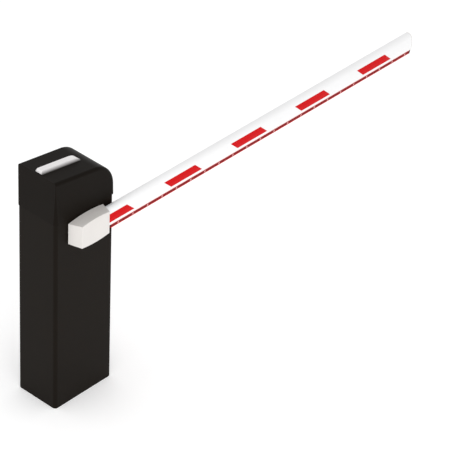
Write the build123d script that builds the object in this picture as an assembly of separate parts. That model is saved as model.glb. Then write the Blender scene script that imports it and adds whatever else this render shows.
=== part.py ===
from build123d import *

import os
from math import atan, cos, degrees, pi, radians, sin, sqrt, tan

# Parking barrier gate: a steel cabinet with a hood, and a boom that its gearmotor lifts by 90 degrees.
#
# The frame: the origin is the centre of the four anchor holes on the underside of the base plate.
# +Z is up, +X is along the closed boom, and the boom runs past the cabinet on its -Y side.
# All sizes are in millimetres. The boom is modelled closed, the door shut and the hood on.

# ---------------------------------------------------------------- cabinet and hood
body_width = 308.0
body_depth = 204.0
body_corner = 14.0
sheet = 2.0
seam_z = 881.0
rim_rise = 23.0
base_thickness = 8.0
anchor_spacing = (230.0, 140.0)
anchor_hole_radius = 7.0
conduit_radius = 30.0
conduit_place = (-62.0, -30.0)

hood_proud = 2.8
hood_wall = 3.0
hood_skirt_gap = 0.3
hood_draft = 1.5
hood_edge_radius = 13.0
hood_back_height = 189.0
roof_slope = 8.7
roof_end_radius = 110.0
roof_back_radius = 2.5
hood_seal_height = 2.0

lens_start = -143.0
lens_length = 207.0
lens_width = 38.0
lens_height = 14.0
lens_run_out = 46.0
lens_window_margin = 10.0
lens_flank_lean = 7.0
lens_end_lean = 4.0
lens_end_radius = 4.0
lens_groove = (8.0, 1.6, 0.9)

# ---------------------------------------------------------------- service door
door_post = 32.0
door_strike = 20.0
door_sill_z = 24.0
door_top_margin = 25.0
door_gap = 2.0
door_return = 14.0
hinge_pin_radius = 2.5
hinge_knuckle_radius = 5.0
hinge_length = 50.0
hinge_low_z = 140.0
hinge_top_margin = 141.0
hinge_leaf = 18.0
lock_inset = 17.0
lock_height = 440.0
lock_radius = 7.0
cam_length = 32.0
cam_width = 14.0
cam_thickness = 3.0

# ---------------------------------------------------------------- shaft and frame
axis_drop = 64.0
shaft_radius = 15.0
running_gap = 0.05
plate = 6.0
frame_half_width = 105.0
frame_top_rise = 61.0
frame_foot_drop = 60.0
rear_plate_y = 30.0
spacer_radius = 8.0
spacer_inset = 16.0
bearing_radius = 26.0
bearing_width = 16.0
shaft_flange_radius = 33.0
shaft_flange_width = 5.0
wall_opening_radius = 36.0
shelf_thickness = 3.0

# ---------------------------------------------------------------- drive
output_drop = 217.0
output_radius = 12.5
lever_throw = 60.0
lever_thickness = 10.0
drive_plane_y = -62.0
pin_radius = 6.0
rod_eye_radius = 13.0
rod_eye_width = 12.0
rod_radius = 5.5
open_pivot_gap = 0.3

gear_module = 2.0
wheel_teeth = 40
wheel_width = 12.0
worm_pitch_radius = 10.0
worm_length = 44.0
mesh_backlash = 0.5
gear_plane_y = -3.0

box_front_y = -33.0
box_cover = 8.0
box_wall = 12.0
box_half_height = 62.0
box_left_x = -56.0
box_right_x = 78.0
motor_radius = 52.0
motor_wall = 4.0
motor_length = 165.0
rotor_radius = 32.0
rotor_gap = 0.8
rotor_shaft_radius = 7.0

release_offset = (30.0, 52.0)
release_radius = 7.0

# ---------------------------------------------------------------- balance spring
yoke_throw = 36.0
yoke_pin_radius = 6.0
yoke_slot_gap = 1.6
yoke_x = -31.0
yoke_half_height = 12.0
guide_reach = 36.0
guide_radius = 5.0
spring_plane_y = 64.0
spring_bottom_z = 190.0
spring_length = 420.0
spring_mean_radius = 15.0
spring_wire_radius = 3.0
spring_pitch = 12.0
anchor_z = 120.0

# ---------------------------------------------------------------- end stops
stop_plane_y = 8.0
stop_reach = 44.0
stop_half_width = 8.0
stop_contact = 36.0
stop_gap = 0.05
buffer_radius = 7.0
buffer_length = 10.0

# ---------------------------------------------------------------- boom
boom_gap = 8.0
boom_half_width = 23.0
boom_half_height = 47.5
boom_drop = 0.0
boom_foot_inset = 4.5
boom_shoulder_inset = 2.2
boom_shoulder_height = 29.0
boom_belly = 6.51
boom_wall = 2.0
boom_start_x = -60.0
boom_tip_x = 1845.0
boom_cap = 3.0
strip_top = 25.5
strip_height = 20.2
strip_inset = 0.3
strip_taper = 4.0
strip_start_x = 94.0
strip_end_gap = 4.0
marker_pitch = 80.0
marker_first_x = 130.0
marker_width = 5.0
marker_proud = 0.3
sticker_pitch = 375.0
sticker_first_x = 2.0
sticker_length = 172.0
sticker_slant = 40.0
sticker_top = 28.0
sticker_height = 38.0
sticker_thickness = 0.4
sticker_count = 5

cover_gap = 5.0
cover_front_gap = 7.0
cover_back_half = 92.0
cover_front_half = 72.0
cover_end_half_height = 45.5
cover_mid_half_height = 55.5
cover_wall = 2.0
cover_edge_radius = 2.5
bracket_plate = 4.0
bracket_flange = 2.0
bracket_gap = 0.1
bracket_span = (-50.0, 46.0)
clamp_strip = 2.0
clamp_bolt_radius = 4.0
clamp_bolt_places = (-35.0, 28.0)

# ---------------------------------------------------------------- worked-out places
half_width = body_width / 2
half_depth = body_depth / 2
inner_x = half_width - sheet
inner_y = half_depth - sheet
shell_top = seam_z + rim_rise
axis_z = seam_z - axis_drop
output_z = axis_z - output_drop
frame_top_z = axis_z + frame_top_rise
frame_bottom_z = output_z - frame_foot_drop
release_place = (release_offset[0], output_z + release_offset[1])
worm_x = gear_module * wheel_teeth / 2 + worm_pitch_radius
boom_y = -half_depth - boom_gap - boom_half_width
strip_top_half = boom_half_width - boom_foot_inset - strip_inset
strip_bottom_half = strip_top_half - strip_taper
boom_z = axis_z - boom_drop
cover_back_y = -half_depth - cover_gap
cover_depth = boom_gap - cover_gap + 2 * boom_half_width + cover_front_gap
cover_front_y = cover_back_y - cover_depth
shelf_top_z = frame_top_z + shelf_thickness
front_plate_y = -inner_y + plate
box_inner_y = box_front_y + box_cover
cos45 = sqrt(0.5)
yoke_travel = 2 * yoke_throw * cos45

parts = {}


def block(x, y, z):
    """A box between a low and a high value along each axis."""
    size = [high - low for low, high in (x, y, z)]
    middle = [(high + low) / 2 for low, high in (x, y, z)]
    return Pos(*middle) * Box(*size)


def rod_x(y, z, radius, x):
    """A cylinder along X between two values of x."""
    return Pos((x[0] + x[1]) / 2, y, z) * Rot(Y=90) * Cylinder(radius, x[1] - x[0])


def rod_y(x, z, radius, y):
    """A cylinder along Y between two values of y."""
    return Pos(x, (y[0] + y[1]) / 2, z) * Rot(X=90) * Cylinder(radius, y[1] - y[0])


def rod_z(x, y, radius, z):
    """A cylinder along Z between two values of z."""
    return Pos(x, y, (z[0] + z[1]) / 2) * Cylinder(radius, z[1] - z[0])


def upright(width, depth, corner, z):
    """A rounded rectangle in plan, standing between two heights."""
    return Pos(0, 0, z[0]) * extrude(RectangleRounded(width, depth, corner), z[1] - z[0])


def along_y(outline, y):
    """A face drawn in X and Z, extruded between two values of y."""
    return Pos(0, y[0], 0) * extrude(Plane.XZ * outline, -(y[1] - y[0]))


def along_x(outline, x):
    """A face drawn in Y and Z, extruded between two values of x."""
    return Pos(x[0], 0, 0) * extrude(Plane.YZ * outline, x[1] - x[0])


def hex_rod_y(x, z, across_flats, y):
    """A hexagonal head or nut along Y."""
    return along_y(Pos(x, z) * RegularPolygon(across_flats / sqrt(3), 6), y)


def add(name, *pieces):
    """Keeps a node: one solid, or a group of separate ones."""
    solids = [solid for piece in pieces for solid in piece.solids()]
    parts[name] = solids[0] if len(solids) == 1 else Compound(solids)


def keep(shape, *cuts):
    """Takes each cut away from a shape in turn."""
    for cut in cuts:
        shape = shape - cut
    return shape


def hex_head_bolt(x, z, radius, y, head_y, across_flats):
    """A bolt along Y: its shank between two values of y, and a hexagonal head or nut beside it."""
    return rod_y(x, z, radius, y) + hex_rod_y(x, z, across_flats, head_y)


# ================================================================ base plate and cabinet shell
base = upright(2 * inner_x, 2 * inner_y, body_corner - sheet, (0, base_thickness))
anchor_places = [(sx * anchor_spacing[0] / 2, sy * anchor_spacing[1] / 2) for sx in (-1, 1) for sy in (-1, 1)]
for x, y in anchor_places:
    base -= rod_z(x, y, anchor_hole_radius, (-1, base_thickness + 1))
base -= rod_z(*conduit_place, conduit_radius, (-1, base_thickness + 1))

grommet = rod_z(*conduit_place, conduit_radius, (0, base_thickness))
grommet += rod_z(*conduit_place, conduit_radius + 5, (base_thickness, base_thickness + 4))
grommet -= rod_z(*conduit_place, conduit_radius - 4, (-1, base_thickness + 5))
add("conduit_grommet", grommet)

door_low_x = -half_width + door_post
door_high_x = half_width - door_strike
door_top_z = seam_z - door_top_margin
shell = upright(body_width, body_depth, body_corner, (0, shell_top))
shell -= upright(2 * inner_x, 2 * inner_y, body_corner - sheet, (-1, shell_top - sheet))
shell -= upright(2 * inner_x - 36, 2 * inner_y - 36, 6, (0, shell_top + 1))
shell -= rod_y(0, axis_z, wall_opening_radius, (-half_depth - 1, -inner_y + 1))
strike = block(
    (door_high_x, door_high_x + sheet), (half_depth - door_return, inner_y), (door_sill_z, door_top_z)
)
shell = shell - block((door_low_x, door_high_x), (inner_y - 1, half_depth + 1), (door_sill_z, door_top_z))
shell = shell + strike

# ================================================================ frame that carries the shaft
spacer_places = [
    (sx * (frame_half_width - spacer_inset), z)
    for sx in (-1, 1)
    for z in (frame_bottom_z + spacer_inset, frame_top_z - spacer_inset)
]
stud_places = [(sx * (frame_half_width - 14), z) for sx in (-1, 1) for z in (frame_bottom_z + 90, axis_z)]


def frame_plate(y):
    """One upright frame plate between two values of y."""
    return block((-frame_half_width, frame_half_width), y, (frame_bottom_z, frame_top_z))


front = frame_plate((-inner_y, front_plate_y)) - rod_y(
    0, axis_z, bearing_radius, (-inner_y - 1, front_plate_y + 1)
)
for x, z in stud_places:
    front -= rod_y(x, z, 4.2, (-inner_y - 1, front_plate_y + 1))
for x, z in stud_places:
    shell += rod_y(x, z, 4, (-inner_y, -inner_y + 20))
stud_nuts = [
    hex_rod_y(x, z, 13, (front_plate_y, front_plate_y + 6.5)) - rod_y(
        x, z, 4, (front_plate_y - 1, front_plate_y + 8)
    )
    for x, z in stud_places
]
add("frame_spacers", *[
    rod_y(
        x, z, spacer_radius, (front_plate_y, rear_plate_y)
    ) - rod_y(x, z, 4, (rear_plate_y - 24, rear_plate_y + 1))
    for x, z in spacer_places
])
rear_bolts = [
    hex_head_bolt(
        x, z, 4, (rear_plate_y - 20, rear_plate_y + plate),
        (rear_plate_y + plate, rear_plate_y + plate + 5.3), 13
    )
    for x, z in spacer_places
]
add("frame_fasteners", *stud_nuts, *rear_bolts)


def bearing(y):
    """A flanged bearing block with a running bore for the shaft."""
    housing = rod_y(0, axis_z, bearing_radius, y)
    housing += block((-34, 34), (y[0] + 6, y[0] + 12), (axis_z - 14, axis_z + 14))
    return housing - rod_y(0, axis_z, shaft_radius + running_gap, (y[0] - 1, y[1] + 1))


front_bearing = bearing((front_plate_y - 6, front_plate_y - 6 + bearing_width))
rear_hole = rod_y(0, axis_z, bearing_radius, (rear_plate_y - 1, rear_plate_y + plate + 1))
rear_bearing = Pos(0, 2 * rear_plate_y + plate, 0) * mirror(
    bearing((rear_plate_y, rear_plate_y + bearing_width)), Plane.XZ
)
add("shaft_bearings", front_bearing, rear_bearing)

rear = frame_plate((rear_plate_y, rear_plate_y + plate)) - rear_hole
for x, z in spacer_places:
    rear -= rod_y(x, z, 4.2, (rear_plate_y - 1, rear_plate_y + plate + 1))

shelf = block(
    (-frame_half_width, frame_half_width), (-inner_y, rear_plate_y + 46), (frame_top_z, shelf_top_z)
)
add("shelf", shelf)

# ================================================================ main shaft with its levers
shaft_back_y = rear_plate_y + plate + 12
flange_start_y = boom_y + boom_half_width + bracket_gap + bracket_plate
flange_y = (flange_start_y, flange_start_y + shaft_flange_width)
flange_screw_places = [
    (24 * cos(radians(a)), axis_z + 24 * sin(radians(a))) for a in (30, 90, 150, 210, 270, 330)
]
shaft = rod_y(0, axis_z, shaft_radius, (flange_y[0], shaft_back_y))
shaft += rod_y(0, axis_z, shaft_flange_radius, flange_y)
for x, z in flange_screw_places:
    shaft -= rod_y(x, z, 3, (flange_y[0] - 1, flange_y[1] + 1))
add("main_shaft", shaft)


def lever(axis_height, throw, angle, y, hub_radius, bore):
    """A lever that points at an angle from +X, drilled for its shaft and its pin."""
    tip = (throw * cos(radians(angle)), axis_height + throw * sin(radians(angle)))
    arm = Pos(0, axis_height) * Rot(Z=angle) * Pos(throw / 2, 0) * Rectangle(throw, 22)
    body = along_y(arm, y) + rod_y(0, axis_height, hub_radius, y) + rod_y(*tip, 13, y)
    return body - rod_y(
        0, axis_height, bore, (y[0] - 1, y[1] + 1)
    ) - rod_y(*tip, pin_radius, (y[0] - 1, y[1] + 1))


lever_y = (drive_plane_y - 5, drive_plane_y - 5 + lever_thickness)
eye_y = (lever_y[1] + 0.4, lever_y[1] + 0.4 + rod_eye_width)
pin_y = (lever_y[0] - 3, eye_y[1] + 0.4)
pin_x = -lever_throw * cos45


def link_pin(x, z):
    """A pin with a head in front of its lever and a retaining ring behind the rod eye."""
    return (
        rod_y(x, z, pin_radius, pin_y)
        + rod_y(x, z, 9, (lever_y[0] - 3, lever_y[0]))
        + rod_y(x, z, 9, (pin_y[1], pin_y[1] + 2))
    )


upper_pin_z = axis_z + lever_throw * cos45
lower_pin_z = output_z + lever_throw * cos45
drive_lever = lever(axis_z, lever_throw, 135, lever_y, 24, shaft_radius)
add("drive_lever", drive_lever + link_pin(pin_x, upper_pin_z))
crank = lever(output_z, lever_throw, 135, lever_y, 22, output_radius)
add("crank", crank + link_pin(pin_x, lower_pin_z))

rod = rod_z(pin_x, sum(eye_y) / 2, rod_radius, (lower_pin_z, upper_pin_z))
rod += rod_y(pin_x, lower_pin_z, rod_eye_radius, eye_y) + rod_y(pin_x, upper_pin_z, rod_eye_radius, eye_y)
rod -= rod_y(pin_x, lower_pin_z, pin_radius + running_gap, (eye_y[0] - 1, eye_y[1] + 1))
rod -= rod_y(pin_x, upper_pin_z, pin_radius + open_pivot_gap, (eye_y[0] - 1, eye_y[1] + 1))
add("connecting_rod", rod)

# ================================================================ worm gearbox and motor
output_back_y = rear_plate_y - 5
output_shaft = rod_y(0, output_z, output_radius, (lever_y[0] - 3, output_back_y))
output_shaft += rod_y(0, output_z, output_radius + 4, (lever_y[0] - 5, lever_y[0]))
add("output_shaft", output_shaft)

pitch = pi * gear_module
tooth_root = wheel_teeth * gear_module / 2 - 1.25 * gear_module
tooth_tip = wheel_teeth * gear_module / 2 + 0.9 * gear_module
lead_angle = atan(gear_module / 2 / worm_pitch_radius)
twist = degrees(wheel_width * tan(lead_angle) / (wheel_teeth * gear_module / 2))
pitch_half = pitch / 4 - mesh_backlash / 2
tooth = Polyline(
    (tooth_root - 1, pitch_half + 1.3), (tooth_tip, pitch_half - 0.75),
    (tooth_tip, -pitch_half + 0.75), (tooth_root - 1, -pitch_half - 1.3), close=True,
)
teeth = Circle(tooth_root) + [
    Rot(Z=(i + 0.5) * 360 / wheel_teeth) * make_face(tooth) for i in range(wheel_teeth)
]
teeth = teeth - Circle(output_radius)
wheel = Solid.extrude_linear_with_rotation(teeth.face(), (0, 0, 0), (0, 0, wheel_width), twist)
wheel = Pos(0, gear_plane_y + wheel_width / 2, output_z) * Rot(X=90) * Rot(Z=-twist / 2) * wheel
add("worm_wheel", wheel)

worm_root = worm_pitch_radius - 1.25 * gear_module
worm_tip = worm_pitch_radius + 0.9 * gear_module
thread_half = pitch / 4 - mesh_backlash / 2
thread_outline = Polyline(
    (worm_root - 0.5, 0, thread_half + 0.9), (worm_tip, 0, thread_half - 0.6),
    (worm_tip, 0, -thread_half + 0.6), (worm_root - 0.5, 0, -thread_half - 0.9), close=True,
)
thread_path = Helix(pitch, worm_length, worm_root)
thread = sweep(make_face(thread_outline), path=thread_path, is_frenet=True)
worm_bottom_z = output_z - worm_length / 2
motor_top_z = output_z - box_half_height
worm = Pos(worm_x, gear_plane_y, worm_bottom_z) * thread
worm = worm + rod_z(worm_x, gear_plane_y, worm_root, (worm_bottom_z - 6, worm_bottom_z + worm_length + 6))
worm = worm + rod_z(
    worm_x, gear_plane_y, rotor_shaft_radius, (motor_top_z - motor_length + 8, output_z + box_half_height - 4)
)
add("worm_shaft", worm)

outer_box = block(
    (box_left_x, box_right_x), (box_inner_y, rear_plate_y),
    (output_z - box_half_height, output_z + box_half_height)
)
cavity = rod_y(0, output_z, tooth_tip + 2, (box_inner_y - 1, rear_plate_y - 14))
cavity += rod_z(worm_x, gear_plane_y, 16, (worm_bottom_z - 8, worm_bottom_z + worm_length + 8))
worm_bore = rod_z(
    worm_x, gear_plane_y, rotor_shaft_radius + running_gap, (motor_top_z - 1, output_z + box_half_height - 3)
)
output_bore = rod_y(0, output_z, output_radius + running_gap, (box_front_y - 1, output_back_y + 0.5))
release_y = (rear_plate_y - 12, rear_plate_y + plate + 30)
release_bore = rod_y(
    *release_place, release_radius + running_gap, (release_y[0] - 0.5, rear_plate_y + plate + 1)
)
add("gearbox_housing", keep(outer_box, cavity, worm_bore, output_bore, release_bore))
box_screw_places = [(x, output_z + s * 54) for x in (box_left_x + 8, box_right_x - 8) for s in (-1, 1)]
lid = block(
    (box_left_x, box_right_x), (box_front_y, box_inner_y),
    (output_z - box_half_height, output_z + box_half_height)
)
lid -= output_bore
for x, z in box_screw_places:
    lid -= rod_y(x, z, 3, (box_front_y - 1, box_inner_y + 1))
add("gearbox_cover", lid)
add("gearbox_screws", *[
    hex_head_bolt(
        x, z, 3, (box_front_y, box_inner_y), (box_front_y - 4, box_front_y), 10
    ) for x, z in box_screw_places
])
rear -= release_bore
handle = rod_y(*release_place, 14, (release_y[1] - 12, release_y[1] + 4))
handle += along_y(
    Pos(release_place[0] + 26, release_place[1]) * SlotOverall(66, 14), (release_y[1] - 8, release_y[1])
)
add("release_lever", handle + rod_y(*release_place, release_radius, release_y))

motor_low_z = motor_top_z - motor_length


def motor_ring(outer, inner, z):
    """A ring about the motor's upright axis."""
    ring = rod_z(worm_x, gear_plane_y, outer, z)
    return ring - rod_z(worm_x, gear_plane_y, inner, (z[0] - 1, z[1] + 1))


motor = rod_z(worm_x, gear_plane_y, motor_radius, (motor_low_z, motor_top_z))
motor -= rod_z(worm_x, gear_plane_y, motor_radius - motor_wall, (motor_low_z + 6, motor_top_z - 8))
motor -= rod_z(worm_x, gear_plane_y, rotor_shaft_radius + 0.3, (motor_low_z + 5, motor_top_z + 1))
add("motor_body", motor)
add(
    "stator",
    motor_ring(motor_radius - motor_wall, rotor_radius + rotor_gap, (motor_low_z + 40, motor_top_z - 40))
)
add("rotor", motor_ring(rotor_radius, rotor_shaft_radius, (motor_low_z + 42, motor_top_z - 42)))

# ================================================================ balance spring on its yoke
balance_y = (rear_plate_y + plate + 2, rear_plate_y + plate + 12)
yoke_y = (balance_y[1] + 1, balance_y[1] + 1 + 14)
guide_y = sum(yoke_y) / 2
yoke_pin_x = -yoke_throw * cos45
yoke_z = axis_z + yoke_throw * cos45
balance_lever = lever(axis_z, yoke_throw, 135, balance_y, 22, shaft_radius)
add(
    "balance_lever",
    balance_lever + rod_y(yoke_pin_x, yoke_z, yoke_pin_radius, (balance_y[0] - 1, yoke_y[1] - 1))
)

yoke = block((yoke_x - 46, yoke_x + 46), yoke_y, (yoke_z - yoke_half_height, yoke_z + yoke_half_height))
slot_x = (-yoke_throw - yoke_pin_radius - 1, yoke_pin_x + yoke_pin_radius + 1)
slot_z = (yoke_z - yoke_pin_radius - yoke_slot_gap, yoke_z + yoke_pin_radius + yoke_slot_gap)
guide_places = (yoke_x - guide_reach, yoke_x + guide_reach)
yoke -= block(slot_x, (yoke_y[0] - 1, yoke_y[1] - 0.4), slot_z)
for x in guide_places:
    yoke -= rod_z(x, guide_y, guide_radius + running_gap, (yoke_z - 20, yoke_z + 20))
add("spring_yoke", yoke)

guide_low_z = yoke_z - yoke_travel - yoke_half_height - 4
guide_high_z = yoke_z + yoke_half_height + 3
guide_bar_height = 8.0
bars = []
for z in (guide_low_z - guide_bar_height, guide_high_z):
    bar = block((yoke_x - 46, yoke_x + 46), (rear_plate_y + plate, yoke_y[1] + 2), (z, z + guide_bar_height))
    for x in guide_places:
        bar -= rod_z(x, guide_y, guide_radius, (z - 1, z + guide_bar_height + 1))
    bars.append(bar - rod_z(yoke_x, guide_y, 6, (z - 1, z + guide_bar_height + 1)))
for bar in bars:
    rear = rear + bar
guide_ends = (guide_low_z - guide_bar_height, guide_high_z + guide_bar_height)
add("guide_rods", *[rod_z(x, guide_y, guide_radius, guide_ends) for x in guide_places])

spring_top_z = spring_bottom_z + spring_length
plug_radius = spring_mean_radius - spring_wire_radius - 0.2
spring_rod = rod_z(yoke_x, guide_y, 5, (spring_top_z - 14, yoke_z - yoke_half_height))
spring_rod += rod_z(yoke_x, guide_y, plug_radius, (spring_top_z - 14, spring_top_z + 2))
spring_rod += rod_z(
    yoke_x, guide_y, spring_mean_radius + spring_wire_radius, (spring_top_z + 2, spring_top_z + 8)
)
add("spring_rod", spring_rod)
coil_height = spring_length - 2 * spring_wire_radius
coil_path = Helix(spring_pitch, coil_height, spring_mean_radius)
coil_section = Plane(origin=coil_path @ 0, z_dir=coil_path % 0) * Circle(spring_wire_radius)
coil = sweep(coil_section, path=coil_path, is_frenet=True)
add("balance_spring", Pos(yoke_x, guide_y, spring_bottom_z + spring_wire_radius) * coil)

tension_bolt = rod_z(yoke_x, guide_y, 5, (anchor_z - 26, spring_bottom_z + 14))
tension_bolt += rod_z(yoke_x, guide_y, plug_radius, (spring_bottom_z - 2, spring_bottom_z + 14))
tension_bolt += rod_z(
    yoke_x, guide_y, spring_mean_radius + spring_wire_radius, (spring_bottom_z - 8, spring_bottom_z - 2)
)
tension_bolt += extrude(Pos(yoke_x, guide_y, anchor_z - 8) * RegularPolygon(17 / sqrt(3), 6), 8)
add("tension_bolt", tension_bolt)
anchor_foot = block((yoke_x - 30, yoke_x + 30), (guide_y - 20, guide_y + 20), (anchor_z, anchor_z + 6))
for x in (yoke_x - 30, yoke_x + 26):
    anchor_foot += block((x, x + 4), (guide_y - 20, guide_y + 20), (base_thickness, anchor_z + 6))
base = base + (anchor_foot - rod_z(yoke_x, guide_y, 5.5, (anchor_z - 1, anchor_z + 7)))
add("base_plate", base)

# ================================================================ end stops and position sensors
stop_y = (stop_plane_y - 6, stop_plane_y + 6)
stop = Pos(stop_reach / 2, 0) * Rectangle(stop_reach, 2 * stop_half_width)
stop_arm = along_y(Pos(0, axis_z) * Rot(Z=-45) * stop, stop_y) + rod_y(0, axis_z, 23, stop_y)
buffers = []
brackets = []
for side in (-1, 1):
    place = Pos(0, stop_plane_y, axis_z) * Rot(Y=45 * -side)
    start = stop_half_width + stop_gap
    buffer = Pos(stop_contact, 0, side * (start + buffer_length / 2)) * Cylinder(buffer_radius, buffer_length)
    seat = Pos(stop_contact, 11, side * (start + buffer_length + 3)) * Box(18, 22 + 11, 6)
    buffers.append(place * buffer)
    brackets.append(place * seat)
limit = block((-frame_half_width, frame_half_width), (-40, rear_plate_y), (frame_bottom_z, frame_top_z))
add("stop_buffers", *buffers)
for bracket in brackets:
    rear = rear + (bracket & limit)

flag_y = (-24.0, -18.0)
flag = rod_y(0, axis_z, 22, flag_y)
flag += along_y(Pos(0, axis_z) * Rot(Z=-45) * Pos(19, 0) * Rectangle(38, 16), flag_y)
stop_arm = stop_arm + flag + rod_y(0, axis_z, 21, (flag_y[0], stop_y[1]))
add("stop_arm", stop_arm - rod_y(0, axis_z, shaft_radius, (flag_y[0] - 1, stop_y[1] + 1)))
sensor_tip_y = flag_y[0] - 2
sensor_places = [(32 * cos45, axis_z + side * 32 * cos45) for side in (-1, 1)]
sensor_plate = block((10, 60), (-48, -44), (axis_z - 40, axis_z + 40))
sensor_plate += block((56, 60), (front_plate_y, -44), (axis_z - 40, axis_z + 40))
for x, z in sensor_places:
    sensor_plate -= rod_y(x, z, 6, (-49, -43))
sensor_plate -= rod_y(0, axis_z, 18, (-49, -43))
add("front_plate", front + sensor_plate)
add("position_sensors", *[rod_y(x, z, 6, (-70, sensor_tip_y)) for x, z in sensor_places])

# ================================================================ controls under the hood
control_x = (-88.0, 72.0)
control_y = (-80.0, 30.0)
control_z = (shelf_top_z, shelf_top_z + 55)
box = block(control_x, control_y, control_z)
box -= block(
    (control_x[0] + 3, control_x[1] - 3), (control_y[0] + 3, control_y[1] - 3),
    (control_z[0] + 3, control_z[1] - 3)
)
button_places = [(control_x[0] + 24 + i * 24, control_y[1] - 20) for i in range(3)]
for x, y in button_places:
    box -= rod_z(x, y, 7.3, (control_z[1] - 4, control_z[1] + 1))
board_z = (control_z[0] + 11, control_z[0] + 13)
board = block((control_x[0] + 8, control_x[1] - 8), (control_y[0] + 8, control_y[1] - 8), board_z)
for x in (control_x[0] + 14, control_x[1] - 14):
    for y in (control_y[0] + 14, control_y[1] - 14):
        box += rod_z(x, y, 4, (control_z[0] + 3, board_z[0]))
add("control_box", box)
for i in range(4):
    low = control_x[0] + 14 + i * 33
    board += block((low, low + 28), (control_y[0] + 10, control_y[0] + 24), (board_z[1], board_z[1] + 14))
board += block(
    (control_x[1] - 58, control_x[1] - 14), (control_y[0] + 34, control_y[0] + 66),
    (board_z[1], board_z[1] + 26)
)
for x, y in button_places:
    board += block((x - 6, x + 6), (y - 6, y + 6), (board_z[1], board_z[1] + 19))
add("control_board", board)
for (x, y), task in zip(button_places, ("raise", "stop", "lower")):
    cap = rod_z(x, y, 7, (control_z[1] - 3.5, control_z[1] + 4))
    cap += rod_z(
        x, y, 9, (control_z[1] - 6.5, control_z[1] - 3.3)
    ) + rod_z(x, y, 2.5, (board_z[1] + 22, control_z[1] - 6))
    add(f"{task}_button", cap)
capacitor = rod_z(-90, 62, 20, (base_thickness, base_thickness + 90))
add("motor_capacitor", capacitor)

# ================================================================ service door
door_x = (door_low_x + door_gap, door_high_x - door_gap)
door_z = (door_sill_z + door_gap, door_top_z - door_gap)
door = block(door_x, (half_depth - door_return, half_depth), door_z)
door -= block(
    (door_x[0] + sheet, door_x[1] - sheet), (
        half_depth - door_return - 1, inner_y
    ), (door_z[0] + sheet, door_z[1] - sheet)
)
hinge_x = door_low_x + door_gap / 2
hinge_y = half_depth + hinge_knuckle_radius + 0.2
post_leaves = []
door_leaves = []
pins = []
for z in (hinge_low_z, seam_z - hinge_top_margin):
    third = hinge_length / 3
    for i, leaf_side in enumerate((-1, 1, -1)):
        low = z + i * third + 0.2
        high = z + (i + 1) * third - 0.2
        knuckle = rod_z(hinge_x, hinge_y, hinge_knuckle_radius, (low, high))
        leaf_x = sorted((hinge_x, hinge_x + leaf_side * hinge_leaf))
        knuckle += block(leaf_x, (half_depth, half_depth + 2), (low, high)) - block(
            (hinge_x - 1.2, hinge_x + 1.2), (half_depth - 1, half_depth + 0.2), (low - 1, high + 1)
        )
        gap = running_gap if leaf_side > 0 else 0
        knuckle -= rod_z(hinge_x, hinge_y, hinge_pin_radius + gap, (low - 1, high + 1))
        (door_leaves if leaf_side > 0 else post_leaves).append(knuckle)
    pins.append(rod_z(hinge_x, hinge_y, hinge_pin_radius, (z - 1, z + hinge_length + 1)))
for leaf in post_leaves:
    shell = shell + leaf
for leaf in door_leaves:
    door = door + leaf
add("hinge_pins", *pins)

lock_x = door_x[1] - lock_inset
cam_y = (half_depth - door_return - 0.5 - cam_thickness, half_depth - door_return - 0.5)
door -= rod_y(lock_x, lock_height, lock_radius + 2.5, (inner_y - 1, half_depth + 1))
add("door", door)
barrel = rod_y(lock_x, lock_height, lock_radius + 2.5, (cam_y[1] + 0.3, half_depth + 2))
barrel += rod_y(lock_x, lock_height, lock_radius + 5, (half_depth, half_depth + 2))
barrel += hex_rod_y(lock_x, lock_height, 24, (inner_y - 5, inner_y))
barrel -= rod_y(lock_x, lock_height, lock_radius + running_gap, (cam_y[0] - 5, half_depth + 3))
add("lock_body", barrel)
plug = rod_y(lock_x, lock_height, lock_radius, (cam_y[1], half_depth + 1.5))
plug -= block(
    (lock_x - 0.6, lock_x + 0.6), (half_depth - 8, half_depth + 2), (lock_height - 4, lock_height + 4)
)
add("lock_plug", plug)
cam = block(
    (lock_x - 8, lock_x + cam_length), cam_y, (lock_height - cam_width / 2, lock_height + cam_width / 2)
)
add("lock_cam", cam)

# ================================================================ hood, lens and lights
hood_x = half_width + hood_proud
hood_y = half_depth + hood_proud
slope = radians(roof_slope)
draft = radians(hood_draft)


def hood_form(inset, bottom, edge_radius):
    """The hood's outside, or a surface set inside it: falling roof, round front end and drafted sides."""
    low_x = -hood_x + inset
    high_x = hood_x - inset
    top = seam_z + hood_back_height - inset
    back_x = low_x + (top - bottom) * tan(draft)
    radius = roof_end_radius - inset
    centre_x = high_x - radius
    rise = radius / cos(slope) + centre_x * tan(slope)
    centre_z = top + back_x * tan(slope) - rise
    touch = (centre_x + radius * sin(slope), centre_z + radius * cos(slope))
    middle = radians(90 - roof_slope) / 2
    bend = (centre_x + radius * cos(middle), centre_z + radius * sin(middle))
    side = Polyline((high_x, centre_z), (high_x, bottom), (low_x, bottom), (back_x, top), touch)
    round_end = ThreePointArc(touch, bend, (high_x, centre_z))
    profile = make_face(Curve([*side.edges(), round_end]))
    form = along_y(profile, (-hood_y - 1, hood_y + 1))
    high = top + 60
    narrow = (high - bottom) * tan(draft)
    cross = Polyline(
        (-hood_y + inset, bottom), (hood_y - inset, bottom), (hood_y - inset - narrow, high),
        (-hood_y + inset + narrow, high), close=True,
    )
    form = form & along_x(make_face(cross), (-hood_x - 1, hood_x + 1))
    roof_edges = form.edges().filter_by(lambda e: abs(e.center().Y) > hood_y - inset - narrow - 2)
    chain = [e for e in roof_edges if e.center().Z > bottom + 1 and e.center().X > low_x + 30]
    form = fillet(chain, edge_radius)
    corner = upright(
        2 * (hood_x - inset) + 80, 2 * (hood_y - inset), body_corner + hood_proud - inset, (bottom, high)
    )
    return form & (Pos(40, 0, 0) * corner), (back_x, top)


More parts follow.
